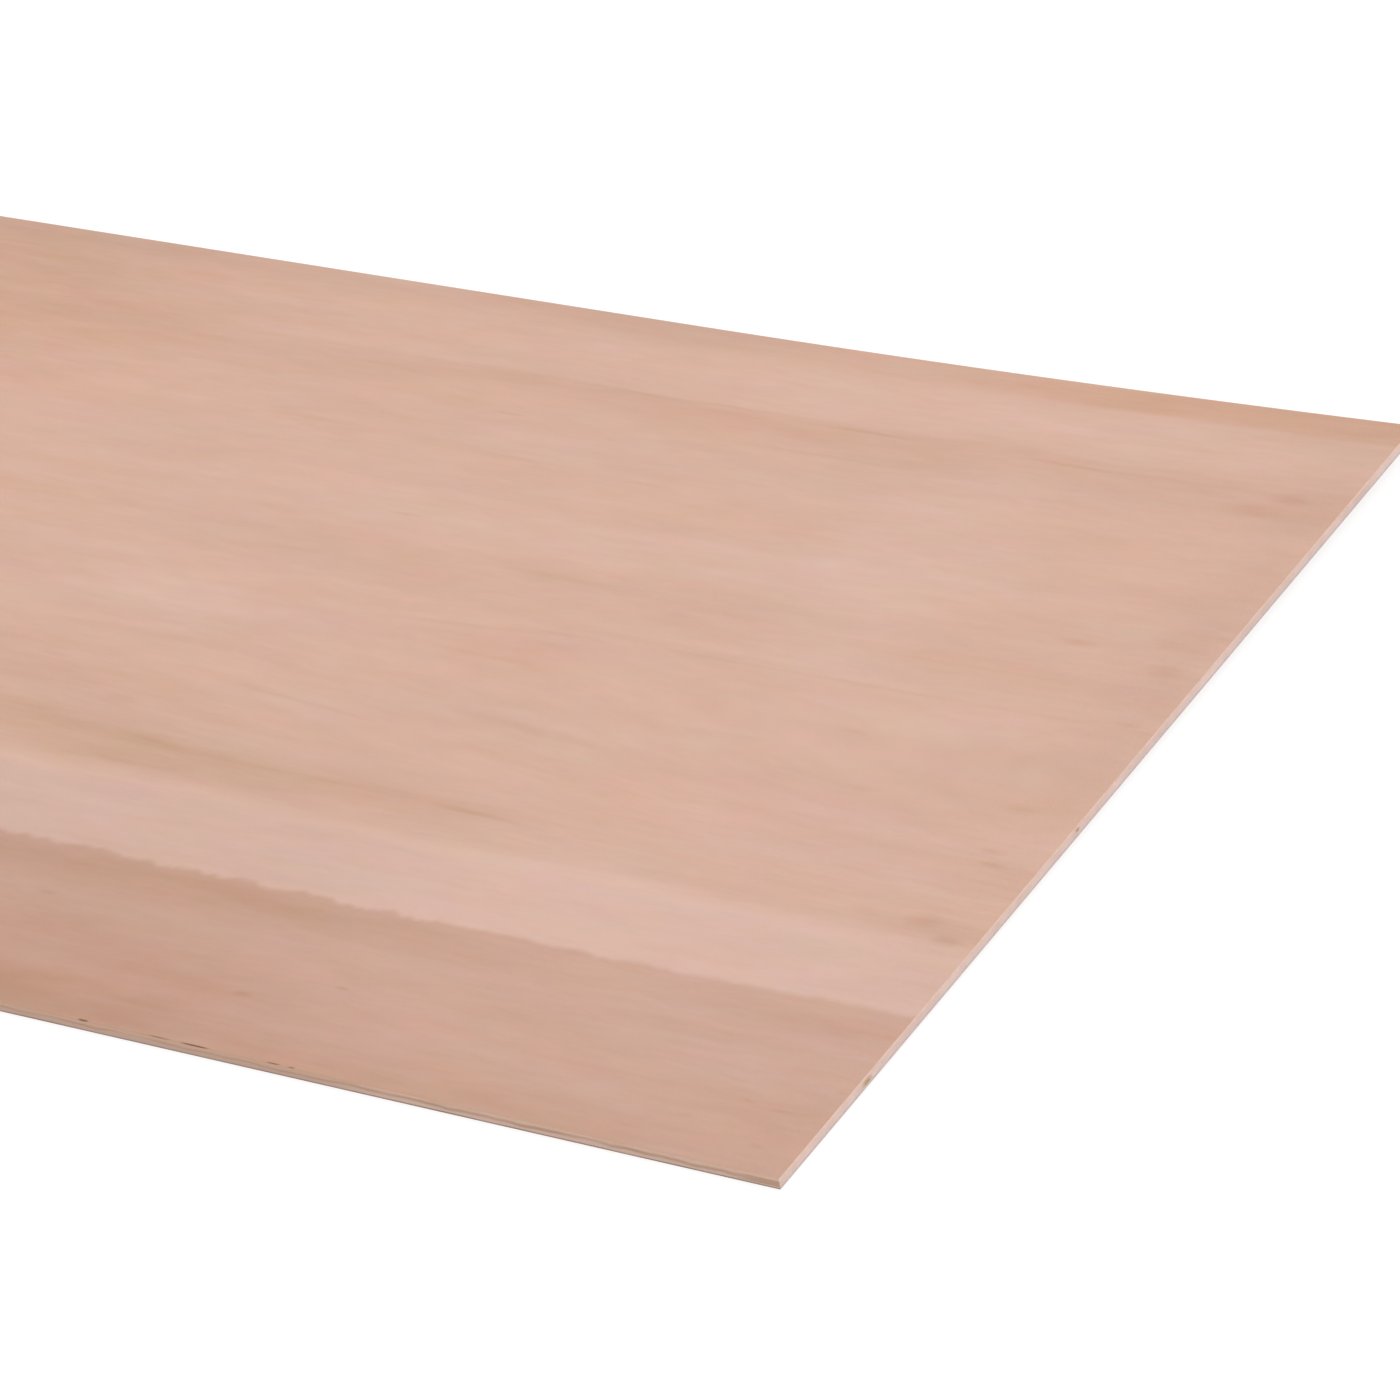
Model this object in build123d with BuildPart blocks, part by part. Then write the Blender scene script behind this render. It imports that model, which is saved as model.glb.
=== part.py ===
"""Thin three-ply plywood sheet, lying flat with its back right corner sprung up.

Frame: X along the length, Y across the width towards the back, Z up from the floor.
The origin is the middle of the underside.
"""
from build123d import *
import os

# Cut size of the sheet
sheet_length = 1829
sheet_width = 607

# Veneers, from the floor up, glued face to face
back_thickness = 1.3
core_thickness = 2.9
face_thickness = 1.3

# The back edge rises in a curve over the last stretch before the right end.
# The front edge stays straight, so the sheet is twisted in between.
bend_length = 400
corner_lift = 7.3

# The sawn corners are worn a little round
corner_radius = 1.2

# Chips that the saw tore out of the face veneer along its front arris:
# the distance of each chip's middle from the right end, and its length
saw_chips = ((247, 10), (291, 12), (310, 13), (351, 5))
chip_reach = 0.8
chip_depth = 0.6

# Pit in the core veneer, where the saw cut through a knot at the right end
knot_from_front = 74
knot_width = 7
knot_reach = 1.5

# Heights of the glue lines and of the face
core_bottom = back_thickness
face_bottom = core_bottom + core_thickness
face_top = face_bottom + face_thickness

# Planes of the two long edges, and where the bend starts
front_edge = Plane.XZ.offset(sheet_width / 2)
back_edge = Plane.XZ.offset(-sheet_width / 2)
left_end = -sheet_length / 2
right_end = sheet_length / 2
bend_start = right_end - bend_length
bend_middle = right_end - bend_length / 2


def long_edge(plane, bottom, thickness, lift):
    """Outline of one veneer on a long edge: level, then curving up by the lift."""
    top = bottom + thickness
    with BuildSketch(plane) as outline:
        with BuildLine():
            Line((left_end, top), (left_end, bottom))
            Line((left_end, bottom), (bend_start, bottom))
            Bezier((bend_start, bottom), (bend_middle, bottom), (right_end, bottom + lift))
            Line((right_end, bottom + lift), (right_end, top + lift))
            Bezier((right_end, top + lift), (bend_middle, top), (bend_start, top))
            Line((bend_start, top), (left_end, top))
        make_face()
    return outline.sketch


def veneer_sections(bottom, thickness):
    """The same veneer on the straight front edge and on the curved back edge."""
    front = long_edge(front_edge, bottom, thickness, 0)
    back = long_edge(back_edge, bottom, thickness, corner_lift)
    return [front, back]


with BuildPart() as back_veneer:
    loft(veneer_sections(0, back_thickness), ruled=True)
    fillet(back_veneer.edges().filter_by(Axis.Z), radius=corner_radius)

with BuildPart() as core_veneer:
    loft(veneer_sections(core_bottom, core_thickness), ruled=True)
    fillet(core_veneer.edges().filter_by(Axis.Z), radius=corner_radius)
    with BuildSketch(Plane((right_end, knot_from_front - sheet_width / 2, core_bottom))):
        Ellipse(knot_reach, knot_width / 2)
    extrude(amount=core_thickness + corner_lift, mode=Mode.SUBTRACT)

with BuildPart() as face_veneer:
    loft(veneer_sections(face_bottom, face_thickness), ruled=True)
    fillet(face_veneer.edges().filter_by(Axis.Z), radius=corner_radius)
    for from_right_end, chip_length in saw_chips:
        chip_floor = Plane((right_end - from_right_end, -sheet_width / 2, face_top - chip_depth))
        with BuildSketch(chip_floor):
            with BuildLine():
                Line((chip_length / 2, 0), (-chip_length / 2, 0))
                ThreePointArc((-chip_length / 2, 0), (0, chip_reach), (chip_length / 2, 0))
            make_face()
        extrude(amount=2 * chip_depth, mode=Mode.SUBTRACT)

os.makedirs("parts", exist_ok=True)
for label, ply in (
    ("back_veneer", back_veneer),
    ("core_veneer", core_veneer),
    ("face_veneer", face_veneer),
):
    ply.part.label = label
    export_step(ply.part, f"parts/{label}.step")
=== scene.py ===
"""A thin sheet of three-ply hardwood plywood, lying on the floor with one corner sprung up."""
from math import radians

import bmesh
import bpy
from mathutils import Matrix, Vector


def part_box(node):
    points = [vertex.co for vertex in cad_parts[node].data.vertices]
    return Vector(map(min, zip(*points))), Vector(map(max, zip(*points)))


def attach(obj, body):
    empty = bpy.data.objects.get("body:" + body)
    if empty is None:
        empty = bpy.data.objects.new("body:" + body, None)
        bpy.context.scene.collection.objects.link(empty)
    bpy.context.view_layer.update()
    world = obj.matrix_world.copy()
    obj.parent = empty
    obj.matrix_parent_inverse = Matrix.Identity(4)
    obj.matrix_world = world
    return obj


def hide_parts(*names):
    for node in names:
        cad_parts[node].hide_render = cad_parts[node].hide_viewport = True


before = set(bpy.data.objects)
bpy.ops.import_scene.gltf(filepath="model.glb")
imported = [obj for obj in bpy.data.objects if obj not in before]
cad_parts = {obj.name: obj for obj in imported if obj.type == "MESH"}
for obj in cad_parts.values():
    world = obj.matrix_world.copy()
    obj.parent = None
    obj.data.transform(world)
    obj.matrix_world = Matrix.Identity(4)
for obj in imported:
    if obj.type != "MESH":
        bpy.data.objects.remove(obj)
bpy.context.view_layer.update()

# The back veneer: the lowest of the three, rotary-cut hardwood with its grain along the
# sheet. It lies on the floor, and rises with the sprung corner at the back right. The
# other two veneers are pressed to the same shape, one on top of the other.
(left_end, front_edge, back_bottom), (right_end, back_edge, sprung_top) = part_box("back_veneer")
back_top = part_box("core_veneer")[0][2]
sheet_length = right_end - left_end
sheet_width = back_edge - front_edge
corner_lift = sprung_top - back_top
bend_length = 0.400
bend_start = right_end - bend_length
bend_steps = 40
level_steps = 24
cross_steps = 16
corner_radius = 0.0012
arris_wear = 0.0003
hair = 0.00002


def pick(piece, test, kind="verts"):
    """In edit mode, select the points or edges that lie where the test says, and nothing else."""
    shape = bmesh.from_edit_mesh(piece.data)
    for part in (*shape.verts, *shape.edges, *shape.faces):
        part.select = False
    for part in getattr(shape, kind):
        corners = [part.co] if kind == "verts" else [end.co for end in part.verts]
        part.select = all(test(corner) for corner in corners)
    shape.select_flush(True)
    bmesh.update_edit_mesh(piece.data)


def slice_through(place, direction):
    """Cut the whole piece along a plane, which leaves a row of new points there."""
    bpy.ops.mesh.select_all(action="SELECT")
    bpy.ops.mesh.bisect(plane_co=place, plane_no=direction)


def press_veneer(name, bottom, top):
    """A level board, then its bend in short steps, each lifting the back corner a little more."""
    bpy.ops.object.select_all(action="DESELECT")
    middle = ((left_end + bend_start) / 2, (front_edge + back_edge) / 2, (bottom + top) / 2)
    level_size = (bend_start - left_end, sheet_width, top - bottom)
    bpy.ops.mesh.primitive_cube_add(size=1, location=middle, scale=level_size)
    veneer = bpy.context.object
    veneer.name = name
    veneer.data.name = name
    bpy.ops.object.transform_apply(location=True, rotation=True, scale=True)
    bpy.ops.object.mode_set(mode="EDIT")
    bpy.ops.mesh.select_mode(type="VERT")
    step = bend_length / bend_steps
    for count in range(bend_steps):
        end = bend_start + count * step
        pick(veneer, lambda point: point.x > end - hair)
        bpy.ops.mesh.extrude_region_move(TRANSFORM_OT_translate={"value": (step, 0, 0)})
        pick(veneer, lambda point: point.x > end + hair and point.y > 0)
        rise = corner_lift * ((count + 1) ** 2 - count**2) / bend_steps**2
        bpy.ops.transform.translate(value=(0, 0, rise))
    for count in range(1, level_steps):
        place = left_end + (bend_start - left_end) * count / level_steps
        slice_through((place, 0, 0), (1, 0, 0))
    for count in range(1, cross_steps):
        place = front_edge + sheet_width * count / cross_steps
        slice_through((0, place, 0), (0, 1, 0))
    return veneer


def wear_corners(piece):
    """Round the four upright corners a little, as handling does."""
    for x in (left_end, right_end):
        for y in (front_edge, back_edge):
            pick(piece, lambda point: abs(point.x - x) < hair and abs(point.y - y) < hair, "edges")
            bpy.ops.mesh.bevel(offset=corner_radius, segments=4, affect="EDGES")


def ease_arris(piece, level):
    """Take the sharpness off the sawn arris that runs all round at one level of the sheet."""
    bpy.ops.mesh.select_all(action="DESELECT")
    shape = bmesh.from_edit_mesh(piece.data)
    for edge in shape.edges:
        middle = (edge.verts[0].co + edge.verts[1].co) / 2
        reach = max(middle.x - bend_start, 0) / bend_length
        rise = corner_lift * reach**2 * (middle.y - front_edge) / sheet_width
        sharp = len(edge.link_faces) == 2 and edge.calc_face_angle() > radians(60)
        edge.select = sharp and abs(middle.z - rise - level) < 10 * hair
    bmesh.update_edit_mesh(piece.data)
    bpy.ops.mesh.bevel(offset=arris_wear, segments=3, affect="EDGES")


def shade(piece):
    """Leave edit mode, and shade the bent faces smoothly but not the sawn edges."""
    bpy.ops.object.mode_set(mode="OBJECT")
    bpy.ops.object.shade_smooth_by_angle(angle=radians(30))


def hand_over(piece, node, wood):
    """Finish the piece in its wood. It rides with the sheet, in the place of its node."""
    piece.data.materials.clear()
    piece.data.materials.append(wood.material)
    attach(piece, "root")
    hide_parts(node)


def stain(red, green, blue):
    """A wood colour, matched in steps of 0 to 255, as the share of light it gives back."""
    shares = [step / 255 for step in (red, green, blue)]
    return (*[share / 12.92 if share <= 0.04045 else ((share + 0.055) / 1.055) ** 2.4 for share in shares], 1)


class Grade:
    """A value that changes over a surface. Arithmetic on it adds Math nodes."""

    def __init__(self, palette, socket):
        self.palette = palette
        self.socket = socket

    def __add__(self, other):
        return self.palette.math("ADD", self, other)

    def __sub__(self, other):
        return self.palette.math("SUBTRACT", self, other)

    def __rsub__(self, other):
        return self.palette.math("SUBTRACT", other, self)

    def __mul__(self, other):
        return self.palette.math("MULTIPLY", self, other)

    def __truediv__(self, other):
        return self.palette.math("DIVIDE", self, other)

    def __abs__(self):
        return self.palette.math("ABSOLUTE", self)

    __radd__ = __add__
    __rmul__ = __mul__


class Palette:
    """The nodes that one surface or one light is mixed from."""

    def __init__(self, tree):
        self.tree = tree
        tree.nodes.clear()

    def node(self, kind, settings, inputs, output=0):
        """Add a node, with its settings and then the values or links of its sockets."""
        node = self.tree.nodes.new(kind)
        for setting, value in settings.items():
            setattr(node, setting, value)
        for name, value in inputs.items():
            if isinstance(value, Grade):
                self.tree.links.new(value.socket, node.inputs[name])
            else:
                node.inputs[name].default_value = value
        return Grade(self, node.outputs[output]) if len(node.outputs) else None

    def math(self, operation, *values):
        return self.node("ShaderNodeMath", {"operation": operation}, dict(enumerate(values)))


class Wood(Palette):
    """A raw wood. It knows, in millimetres, how far a place is to the right end, from the
    front edge and above the underside, and it draws its grain on those."""

    def __init__(self, name):
        self.material = bpy.data.materials.new(name)
        self.material.use_nodes = True
        super().__init__(self.material.node_tree)
        place = self.node("ShaderNodeTexCoord", {}, {}, "Object")
        x, y, z = [self.node("ShaderNodeSeparateXYZ", {}, {0: place}, axis) for axis in "XYZ"]
        self.along = (x - right_end) * 1000
        self.across = (y - front_edge) * 1000
        reach = self.math("MAXIMUM", (x - bend_start) / bend_length, 0)
        self.height = (z - reach * reach * (y - front_edge) * (corner_lift / sheet_width)) * 1000

    def fade(self, value, none, full, most=1.0):
        """Rise smoothly from 0, where the value is none, to the most, where it is full."""
        limits = {"Value": value, "From Min": none, "From Max": full, "To Max": most}
        return self.node("ShaderNodeMapRange", {"interpolation_type": "SMOOTHSTEP"}, limits)

    def bell(self, value, middle, spread):
        """1 at the middle, falling smoothly to 0 at the spread on either side."""
        return self.fade(abs(value - middle), spread, 0)

    def sawn(self, from_middle, half_size):
        """1 within a hair of the two sawn faces that lie half the sheet's size from its middle."""
        return self.fade(abs(from_middle), half_size - 0.12, half_size - 0.02)

    def on_ends(self):
        """1 on the sawn left and right ends."""
        half_length = sheet_length * 500
        return self.sawn(self.along + half_length, half_length)

    def on_long_edges(self):
        """1 on the sawn front and back edges."""
        half_width = sheet_width * 500
        return self.sawn(self.across - half_width, half_width)

    def place(self, along, across, height=0.0):
        """A place in the grain, as one vector."""
        return self.node("ShaderNodeCombineXYZ", {}, {"X": along, "Y": across, "Z": height})

    def patch(self, place, middle, size, solid, most):
        """An oval patch: the most in its solid share, falling smoothly to 0 at its rim."""
        shrink = [2 / side for side in size]
        shift = [-part * by for part, by in zip(middle, shrink)]
        spread = {0: place, 1: shrink, 2: shift}
        offset = self.node("ShaderNodeVectorMath", {"operation": "MULTIPLY_ADD"}, spread)
        reach = self.node("ShaderNodeVectorMath", {"operation": "LENGTH"}, {0: offset}, "Value")
        return self.fade(reach, 1, solid, most)

    def mottle(self, length, width, seed=0.0, across=None):
        """Cloudy variation about zero, drawn out along the grain."""
        across = self.across if across is None else across
        spread = self.place(self.along / length, across / width + seed, self.height / (2 * width) + seed)
        cloud = {"Vector": spread, "Scale": 1.0, "Detail": 1.0}
        return self.node("ShaderNodeTexNoise", {}, cloud) - 0.5

    def leftward_darkening(self):
        """1 where the long edges are darker, some way from the right end."""
        return self.fade(self.along, -180, -240)

    def blend(self, amount, first, second):
        """Mix two colours by an amount."""
        return self.node("ShaderNodeMix", {"data_type": "RGBA"}, {0: amount, 6: first, 7: second}, 2)

    def tint(self, colour, tint):
        """Multiply a colour by another."""
        mix = {"data_type": "RGBA", "blend_type": "MULTIPLY"}
        return self.node("ShaderNodeMix", mix, {0: 1.0, 6: colour, 7: tint}, 2)

    def end_grain(self, light, dark):
        """The cut ends of the fibres, speckled from a light colour to a dark one."""
        speckle = self.mottle(400, 7, seed=19.0) * 0.9 + self.mottle(400, 0.9, seed=20.0) * 0.7
        return self.blend(0.5 + speckle, light, dark)

    def finish(self, colour, roughness, relief, depth):
        """Lay the colour on, with how matt it is and a relief so many millimetres deep."""
        bump = self.node("ShaderNodeBump", {}, {"Height": relief, "Distance": depth / 1000, "Strength": 1.0})
        raw = {"Base Color": colour, "Roughness": roughness, "Normal": bump, "Specular IOR Level": 0.25}
        surface = self.node("ShaderNodeBsdfPrincipled", {}, raw)
        self.node("ShaderNodeOutputMaterial", {}, {"Surface": surface})


back_wood = Wood("back_veneer_wood")
back_tone = 0.4 + back_wood.mottle(300, 30) * 0.9 + back_wood.mottle(110, 8) * 0.5
back_tone = back_tone + back_wood.mottle(14, 0.5) * 0.3
back_face = back_wood.blend(back_tone, stain(220, 184, 168), stain(190, 148, 120))
# Painted shade: the sawn edges turn grey brown in their lowest millimetre, standing for the contact shadow
# where the sheet meets the floor. They also darken some way left of the right end.
painted_bottom_shade = back_wood.fade(back_wood.height + back_wood.mottle(30, 400) * 0.6, 1.05, 0.5)
bottom_shade_and_leftward_darkening = back_wood.math("MAXIMUM", painted_bottom_shade, back_wood.leftward_darkening() * 0.3)
back_sawn = back_wood.blend(bottom_shade_and_leftward_darkening, stain(226, 192, 176), stain(156, 131, 121))
back_end = back_wood.end_grain(stain(228, 206, 198), stain(202, 180, 170))
back_colour = back_wood.blend(back_wood.on_ends(), back_face, back_end)
back_colour = back_wood.blend(back_wood.on_long_edges(), back_colour, back_sawn)
back_pores = back_wood.mottle(9, 0.22)
back_wood.finish(back_colour, 0.72 + back_wood.mottle(60, 4) * 0.2, back_pores, 0.12)

back_veneer = press_veneer("back_veneer_board", back_bottom, back_top)
wear_corners(back_veneer)
ease_arris(back_veneer, back_bottom)
shade(back_veneer)
hand_over(back_veneer, "back_veneer", back_wood)

# The core: one thick veneer with its grain across the sheet, so the long edges show its
# dark end grain and the ends show its side grain. It is glued between the other two. The
# saw went through a knot at the right end, and left a tan spot with a shallow pit.
core_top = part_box("face_veneer")[0][2]
knot_outside = 0.0005
knot_across = 0.0742
knot_height = (back_top + core_top) / 2 + 0.0003
knot_place = (right_end + knot_outside, front_edge + knot_across, knot_height)
knot_reach = (0.0012, 0.0022, 0.0006)
knot_roughness = 0.0002

core_wood = Wood("core_veneer_wood")
core_place = core_wood.place(core_wood.along, core_wood.across, core_wood.height)
fibres = 0.4 + core_wood.mottle(3, 70) * 0.9 + core_wood.mottle(40, 9, seed=4.5) * 0.8
fibres = fibres + core_wood.mottle(0.5, 16, seed=4.0) * 0.5
core_side = core_wood.blend(fibres, stain(238, 211, 203), stain(214, 184, 172))
knot = core_wood.patch(core_place, (0, knot_across * 1000, 2.4), (16, 11, 6.8), 0.3, 0.85)
core_side = core_wood.blend(knot, core_side, stain(200, 168, 134))
red_fleck = core_wood.patch(core_place, (0, 264, 3.4), (16, 4.8, 2.8), 0.3, 0.7)
core_side = core_wood.blend(red_fleck, core_side, stain(184, 132, 104))
glue_line = core_wood.height + core_wood.mottle(17, 400) * 2.4 + core_wood.mottle(70, 400, seed=3.0) * 1.6
burnt = core_wood.bell(glue_line, 3.2, 1.5)
front_corner = core_wood.fade(core_wood.along, -24, -14) * core_wood.fade(core_wood.across, 2, 0)
burnt = core_wood.math("MAXIMUM", burnt, front_corner) * (0.9 + core_wood.mottle(26, 400, seed=7.0) * 1.3)
burnt = core_wood.math("MAXIMUM", burnt, core_wood.leftward_darkening() * 0.48)
core_end = core_wood.blend(burnt, stain(226, 194, 178), stain(195, 158, 135))
core_colour = core_wood.blend(core_wood.on_long_edges(), core_side, core_end)
core_pores = core_wood.mottle(0.35, 0.35)
core_wood.finish(core_colour, 0.85, core_pores, 0.15)

core_veneer = press_veneer("core_veneer_board", back_top, core_top)
wear_corners(core_veneer)
shade(core_veneer)


def cut_away(piece, place, reach, roughen):
    """Take a rough round pit out of the piece."""
    bpy.ops.object.select_all(action="DESELECT")
    bpy.ops.mesh.primitive_uv_sphere_add(segments=16, ring_count=12, radius=1, location=place, scale=reach)
    cutter = bpy.context.object
    bpy.ops.object.transform_apply(location=True, rotation=True, scale=True)
    bpy.ops.object.mode_set(mode="EDIT")
    bpy.ops.mesh.select_all(action="SELECT")
    bpy.ops.transform.vertex_random(offset=roughen, seed=5)
    bpy.ops.object.mode_set(mode="OBJECT")
    bpy.ops.object.select_all(action="DESELECT")
    bpy.context.view_layer.objects.active = piece
    cut = piece.modifiers.new("cut", "BOOLEAN")
    cut.operation = "DIFFERENCE"
    cut.solver = "MANIFOLD"
    cut.object = cutter
    bpy.ops.object.modifier_apply(modifier="cut")
    bpy.data.objects.remove(cutter)


cut_away(core_veneer, knot_place, knot_reach, knot_roughness)
hand_over(core_veneer, "core_veneer", core_wood)

# The face veneer: rotary-cut hardwood, sanded, with its grain along the sheet. A pale band
# and a browner one run along its front, and the saw has torn chips out of its front arris.
face_top = core_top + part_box("face_veneer")[1][2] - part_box("core_veneer")[1][2]

face_wood = Wood("face_veneer_wood")
along, across = face_wood.along, face_wood.across

# The grain wanders a millimetre or so, and slopes gently in a patch a third of the way back.
sway = face_wood.mottle(70, 60, seed=1.0) * 4 + face_wood.mottle(22, 24, seed=2.0) * 1.6
slope = face_wood.bell(across, 245, 95) * face_wood.fade(along, -600, 80, 56)
grain = across + sway
slanted = grain + slope


def streaks(marks, lean=0.0):
    """Long marks in the grain, fading out all round: where along each starts and ends, how
    far across its start is, how wide and how strong it is. They climb by the lean."""
    level = face_wood.place(along, grain - along * lean if lean else grain)
    total = 0
    for start, end, across_start, width, strength in marks:
        middle = ((start + end) / 2, across_start - lean * start, 0)
        solid = 0.25 if width > 20 else 0
        total = face_wood.patch(level, middle, (end - start, width, 1), solid, strength) + total
    return total


# The tone goes from pale pink at 0 to brown at 1. From the front there are a browner zone
# with a scalloped rim, a pale band, a belt with a crisp back edge far behind it, and browner
# strips along the back edge.
scallops = face_wood.mottle(27, 400, seed=5.0) * 7.5 + face_wood.mottle(9, 400, seed=5.5) * 7.5
scallops = scallops * (0.35 + face_wood.fade(along, -60, -260, 0.65)) - face_wood.fade(along, -150, 0, 2)
front_zone = face_wood.fade(across + scallops, 117, 112)
front_rim = front_zone * face_wood.bell(across, 103, 20) * face_wood.fade(along, -140, -330)
pale_edge = 164 - along * 0.010
pale_band = face_wood.fade(grain, pale_edge + 12, pale_edge - 8) * (1 - front_zone)
toward_left = face_wood.fade(along, -230, -420)
front_left = face_wood.fade(along, -100, -350) * face_wood.bell(across, 38, 44)
back_belt = face_wood.fade(grain, 492, 536) * face_wood.fade(grain, 545, 540)
back_belt = back_belt * (0.4 + face_wood.fade(along, -620, -500, 0.6))
back_right = face_wood.fade(across, 585, 590) * face_wood.fade(along, -240, -150)
back_strip = face_wood.fade(across, 584, 597) * face_wood.fade(along, -560, -400) * (1 - back_right * 0.7)
back_left = face_wood.fade(along, -520, -800) * face_wood.bell(across, 552, 138)
tone = 0.36 + front_zone * (0.09 + toward_left * 0.09) + front_left * 0.13 + front_rim * 0.17
tone = tone - pale_band * (0.31 + face_wood.fade(along, -60, -200, 0.03) - toward_left * 0.09)
tone = tone + back_belt * 0.13 + back_strip * 0.16 + back_right * 0.2

# Broad belts in the grain, browner or paler than what is round them.
belts = (
    (-110, 60, 102, 20, 0.14),
    (-900, 200, 2, 60, 0.15),
    (-700, -220, 6, 80, 0.08),
    (-70, 60, 38, 60, 0.07),
    (-70, 60, 172, 34, 0.13),
    (-60, 60, 138, 60, 0.1),
    (-60, 60, 215, 44, 0.08),
    (-640, -400, 207, 36, 0.12),
    (-640, -220, 190, 44, 0.19),
    (-800, -380, 240, 70, 0.12),
    (-425, -250, 319, 34, 0.06),
    (-590, -440, 313, 50, -0.13),
    (-190, -10, 320, 44, -0.08),
    (-255, -105, 430, 330, -0.1),
    (-800, 100, 371, 56, 0.06),
    (-700, 60, 414, 60, -0.07),
    (-560, 120, 565, 46, -0.11),
)
# Lines of the yearly growth, mostly dark and thin.
lines = (
    (-545, -495, 207, 7, 0.13),
    (-500, -466, 225, 12, 0.14),
    (-445, -410, 223, 6, 0.1),
    (-505, -430, 180, 6, 0.13),
    (-482, -424, 199, 20, 0.11),
    (-600, -410, 278, 10, 0.08),
    (-240, -160, 287, 10, -0.07),
    (-345, -275, 336, 5, 0.13),
    (-300, 40, 338, 4, 0.11),
    (-380, -120, 346, 9, -0.07),
    (-382, -306, 380, 9, 0.12),
    (-278, -240, 366, 7, 0.12),
    (-160, -40, 365, 5, 0.1),
    (-590, -415, 376, 12, 0.08),
    (-580, -480, 473, 6, 0.1),
    (-450, -390, 469, 5, 0.12),
    (-440, -300, 541, 4, 0.13),
    (-310, -200, 538, 4, 0.14),
    (-220, -40, 535, 4, 0.12),
    (-345, -195, 513, 4, 0.1),
)
falling_lines = (
    (-400, -215, 199, 12, 0.12),
    (-305, -232, 195, 6, 0.18),
    (-426, -256, 313, 6, 0.08),
)
steep_lines = (
    (-462, -340, 255, 6, 0.13),
    (-350, -225, 243, 9, 0.09),
    (-360, -215, 269, 11, 0.12),
    (-129, 20, 60, 7, -0.05),
)
rising_lines = (
    (-430, -290, 323, 6, 0.12),
    (-129, 20, 62, 7, -0.05),
)
# Short dark flecks, and the brown smudges near the right end.
flecks = (
    (-145, -122, 303, 6, 0.14),
    (-362, -318, 465, 4, 0.12),
    (-455, -424, 408, 4, 0.16),
    (-457, -430, 505, 4, 0.16),
    (-258, -246, 57, 4, 0.25),
    (-300, -286, 40, 6, 0.2),
    (-432, -418, 79.5, 4, 0.22),
    (-44, -12, 533, 15, 0.26),
    (-66, -20, 520, 18, 0.19),
    (-84, -54, 396, 9, 0.2),
    (-42, 4, 409, 30, 0.13),
    (-32, -4, 385, 16, 0.2),
    (-25, -5, 341, 6, 0.15),
    (-42, -16, 268, 15, 0.15),
    (-118, -94, 264, 9, 0.1),
    (-37, -16, 236, 9, 0.22),
    (-32, -12, 227, 7, 0.2),
    (-44, -16, 181, 13, 0.22),
    (-25, -2, 170, 10, 0.24),
    (-74, -46, 180, 10, 0.12),
    (-68, -52, 26, 5, 0.13),
    (-45, -33, 44, 4, 0.13),
    (-31, -12, 42, 4, 0.13),
    (-26, -15, 17, 4, 0.12),
    (-9, 3, 60, 4, 0.15),
)
marks = streaks(belts + lines + flecks) + streaks(falling_lines, lean=-0.045)
marks = marks + streaks(steep_lines, lean=-0.1) + streaks(rising_lines, lean=0.1)
marks = marks + back_left * 0.27
tone = tone + marks * (1 + face_wood.mottle(50, 5, seed=6.0, across=slanted) * 1.1)

# Finer clouding and figure everywhere, from broad to fine.
tone = tone + face_wood.mottle(120, 22, seed=8.0, across=slanted) * 0.2
tone = tone + face_wood.mottle(48, 9, seed=9.0, across=slanted) * 0.22
tone = tone + face_wood.mottle(20, 3.4, seed=10.0, across=slanted) * 0.17
tone = tone + face_wood.mottle(8, 0.8, seed=11.0, across=slanted) * 0.06
face_colour = face_wood.blend(tone, stain(225.5, 188, 172.5), stain(191.5, 147, 117.5))

# The front is duller and darker than the rest, most of all towards the left: partly the wood's own tone,
# partly painted shade where the light falls off towards the front left. So are the last stretch before the
# right end behind the pale band, and the back edge towards the left.
behind_pale = face_wood.fade(grain, pale_edge - 10, pale_edge + 2)
painted_shade_and_dullness = 0.01 - behind_pale * 0.075
painted_shade_and_dullness = painted_shade_and_dullness + face_wood.fade(along, -200, -330) * face_wood.fade(across, 320, 130, 0.04)
painted_shade_and_dullness = painted_shade_and_dullness + face_wood.fade(along, -60, -10) * face_wood.fade(across, 270, 300, 0.04)
painted_shade_and_dullness = painted_shade_and_dullness + face_wood.fade(along, -300, -450) * face_wood.fade(across, 582, 602, 0.07)
face_colour = face_wood.tint(face_colour, face_wood.place(1 - painted_shade_and_dullness, 1 - painted_shade_and_dullness, 1 - painted_shade_and_dullness))

# Cloudy patches lean to pink or, below zero, to olive. Others lean to warm or to cool.
warm_patches = ((-900, -540, 490, 150, 0.3),)
pink_patches = (
    (-425, -250, 319, 34, 0.3),
    (-240, -20, 232, 90, 0.3),
    (-740, -600, 440, 60, 0.2),
    (-560, -320, 192, 44, -0.35),
    (-335, -265, 257, 26, -0.25),
)
rosy = 0.5 + front_left * 0.5 + front_zone * 0.2 + streaks(pink_patches)
rosy = rosy + face_wood.mottle(46, 20, seed=15.0) * 1.1 + face_wood.mottle(12, 6, seed=16.0) * 0.6
rose = face_wood.blend(rosy, (0.98, 1.018, 0.98, 1), (1.02, 0.982, 1.02, 1))
warmth = 0.5 + back_right * 0.45 + streaks(warm_patches)
warmth = warmth + face_wood.mottle(140, 36, seed=17.0) + face_wood.mottle(26, 9, seed=18.0) * 0.8
warm = face_wood.blend(warmth, (0.968, 1, 1.038, 1), (1.032, 1, 0.962, 1))
face_colour = face_wood.tint(face_wood.tint(face_colour, rose), warm)
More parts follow.
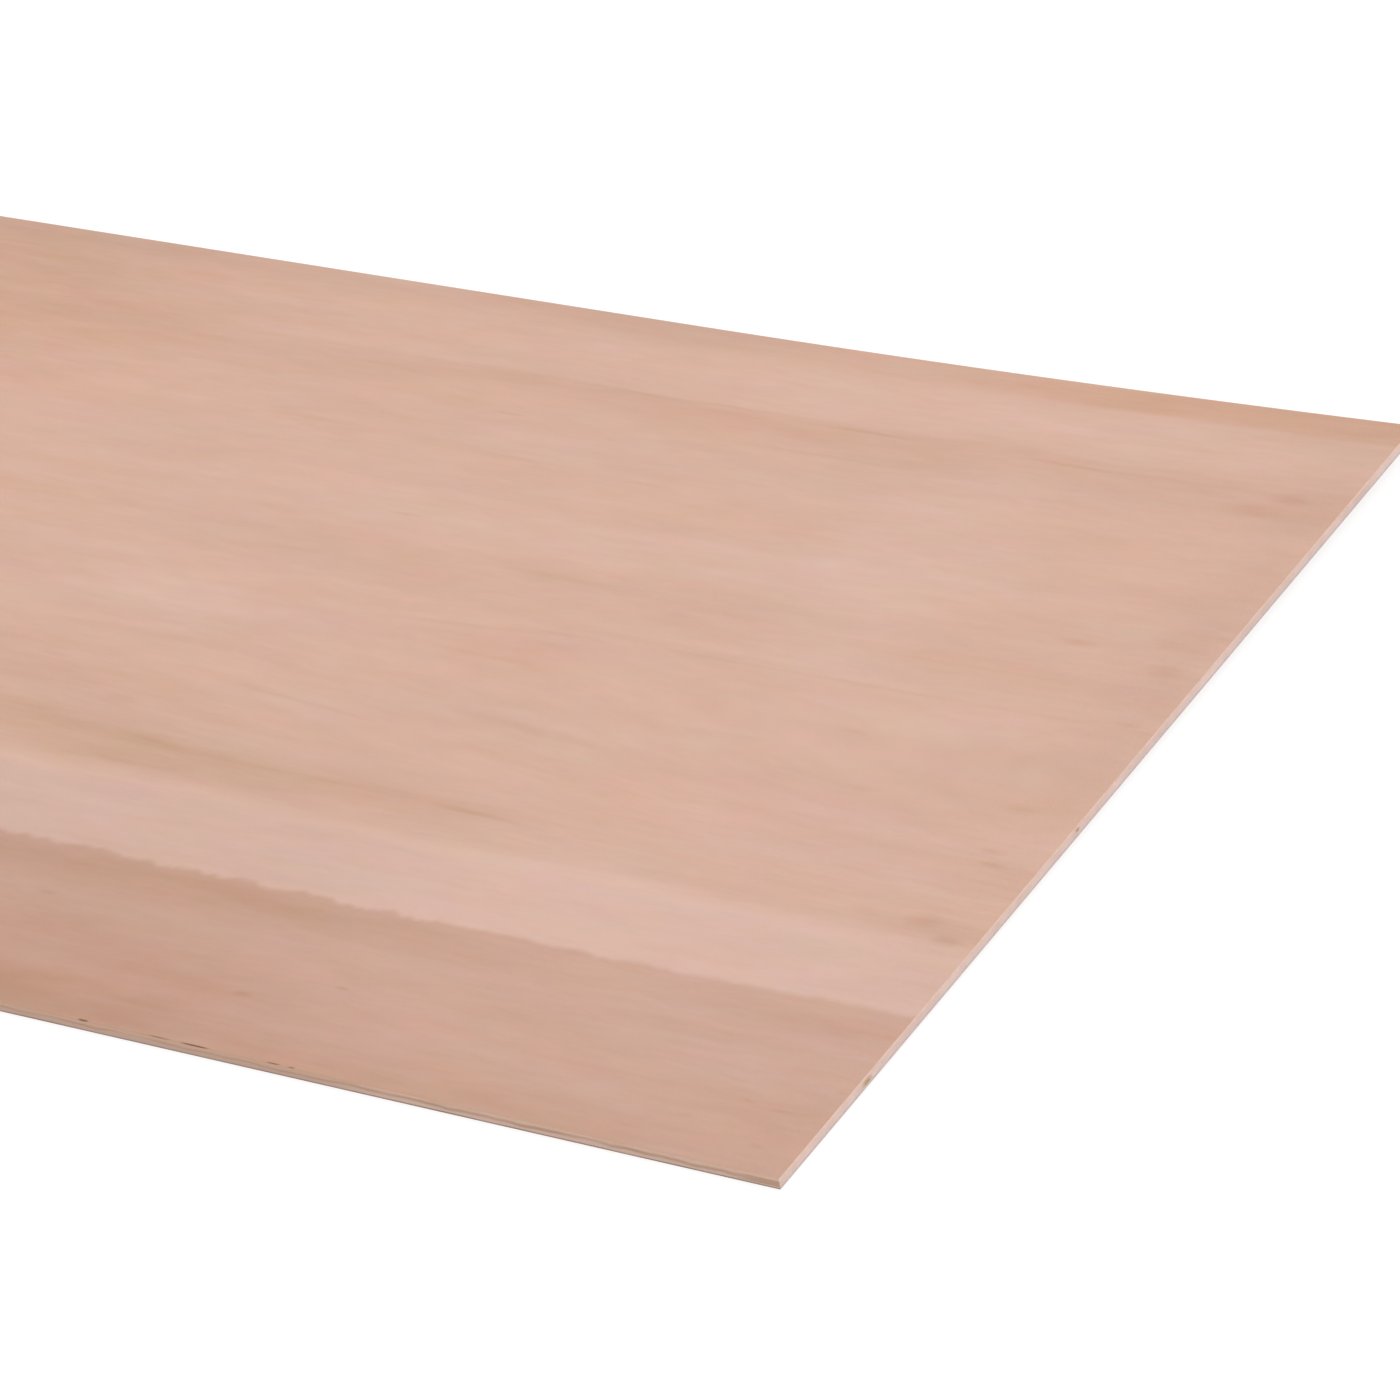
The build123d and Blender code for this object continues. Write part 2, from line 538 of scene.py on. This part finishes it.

# The sawn front and back edges are a little lighter than the face towards the right end. They are lighter
# again over the last 90 mm, a painted highlight along the arris, and darker further left. The two ends show
# the cut fibres, which are lighter still, partly from sanding fuzz and partly as a painted highlight on the
# end arris.
sawn_tone = 0.5 + face_wood.mottle(30, 2) + face_wood.mottle(4, 1) * 0.6
sawn_tone = sawn_tone + face_wood.leftward_darkening() * 0.9 - face_wood.fade(along, -90, -20, 0.2)
sawn_colour = face_wood.blend(sawn_tone, stain(231, 198, 177), stain(214, 175, 150))
face_colour = face_wood.blend(face_wood.on_long_edges(), face_colour, sawn_colour)
face_end_and_arris_highlight = face_wood.end_grain(stain(246, 214, 198), stain(227, 190, 169))
face_colour = face_wood.blend(face_wood.on_ends(), face_colour, face_end_and_arris_highlight)

# A chip shows the rough, darker wood under the sanded surface, and its dark colour also paints the shade that
# falls inside the pit.
face_level = face_top * 1000
chip_shade_and_torn_wood = face_wood.fade(face_wood.height, face_level - 0.08, face_level - 0.35)
chip_shade_and_torn_wood = chip_shade_and_torn_wood * face_wood.fade(across, 2.5, 1.2) * face_wood.fade(across, 0.02, 0.06)
chip_shade_and_torn_wood = chip_shade_and_torn_wood * face_wood.fade(along, -200, -220)
face_colour = face_wood.blend(chip_shade_and_torn_wood * 0.85, face_colour, stain(126, 84, 60))
pores = face_wood.mottle(5, 0.14, seed=12.0)
raised = face_wood.mottle(60, 1.6, seed=13.0)
roughness = 0.66 + face_wood.mottle(90, 6, seed=14.0) * 0.2
face_wood.finish(face_colour, roughness, pores + raised * 0.6, 0.1)

face_veneer = press_veneer("face_veneer_board", core_top, face_top)
wear_corners(face_veneer)
ease_arris(face_veneer, face_top)
shade(face_veneer)

# The chips, torn out along the front arris where the saw's teeth came up: how far each is
# from the right end, its length, how far it reaches in, and how deep it goes, in millimetres.
chip_inset = 0.0004
chip_roughness = 0.00006
chips = (
    (241.5, 4, 0.35, 0.3),
    (251, 8, 0.4, 0.3),
    (292, 16, 0.4, 0.5),
    (311, 14, 0.35, 0.25),
    (351, 6, 0.6, 0.45),
)
for from_end, length, reach, depth in chips:
    middle = (right_end - from_end / 1000, front_edge + chip_inset, face_top)
    cut_away(face_veneer, middle, (length / 2000, reach / 1000, depth / 1000), chip_roughness)
hand_over(face_veneer, "face_veneer", face_wood)

# The floor is plain and white, a hair below the sheet. To the camera it is lit from within,
# like a light table, but the sheet's soft shadow still shows on it.
floor_size = 14
floor_drop = 0.0003
bpy.ops.object.select_all(action="DESELECT")
bpy.ops.mesh.primitive_plane_add(size=floor_size, location=(0, 0, -floor_drop))
floor = bpy.context.object
floor.name = "floor"

floor_paint = bpy.data.materials.new("floor_paint")
floor_paint.use_nodes = True
floor.data.materials.append(floor_paint)
paint = Palette(floor_paint.node_tree)


def on_show(palette):
    """1 where the background itself is seen: straight, in a gloss, or through glass."""
    shown = 0
    for kind in ("Camera", "Glossy", "Transmission"):
        ray = palette.node("ShaderNodeLightPath", {}, {}, f"Is {kind} Ray")
        shown = palette.math("MAXIMUM", ray, shown)
    return shown


matt = paint.node("ShaderNodeBsdfDiffuse", {}, {"Color": (0.9, 0.9, 0.9, 1)})
glow = paint.node("ShaderNodeEmission", {}, {"Strength": 1.12})
surface = paint.node("ShaderNodeMixShader", {}, {0: on_show(paint) * 0.75, 1: matt, 2: glow})
paint.node("ShaderNodeOutputMaterial", {}, {"Surface": surface})

# Soft studio light: an even white room, and one large far lamp above the sheet's back right.
room = bpy.data.worlds.new("room")
bpy.context.scene.world = room
room.use_nodes = True
air = Palette(room.node_tree)
white = 0.72 + on_show(air) * 0.28
background = air.node("ShaderNodeBackground", {}, {"Color": (1, 1, 1, 1), "Strength": white})
air.node("ShaderNodeOutputWorld", {}, {"Surface": background})

lamp_side = Vector((0.45, 0.25, 0.86))
lamp_data = bpy.data.lights.new("soft_lamp", "SUN")
lamp_data.energy = 0.885
lamp_data.angle = radians(40)
lamp = bpy.data.objects.new("soft_lamp", lamp_data)
bpy.context.scene.collection.objects.link(lamp)
lamp.matrix_world = lamp_side.to_track_quat("Z", "Y").to_matrix().to_4x4()

# The camera: a long lens that looks down on the sheet's right end from the front right,
# held a little askew. Most of the sheet's left half is out of its view.
aim = Vector((0.6975, 0.0029, face_top))
distance = 3.138
tilt_down = radians(-31.825)
turn_left = radians(35.683)
askew = radians(-10.038)
toward = Vector((0, 1, 0))
toward.rotate(Matrix.Rotation(tilt_down, 3, "X"))
toward.rotate(Matrix.Rotation(turn_left, 3, "Z"))
camera_data = bpy.data.cameras.new("camera")
camera_data.lens = 177.76
camera_data.sensor_width = 36
camera_data.clip_end = 100
camera = bpy.data.objects.new("camera", camera_data)
bpy.context.scene.collection.objects.link(camera)
turn = toward.to_track_quat("-Z", "Y").to_matrix() @ Matrix.Rotation(askew, 3, "Z")
camera.matrix_world = Matrix.Translation(aim - toward * distance) @ turn.to_4x4()
bpy.context.scene.camera = camera
bpy.context.scene.view_settings.view_transform = "Standard"
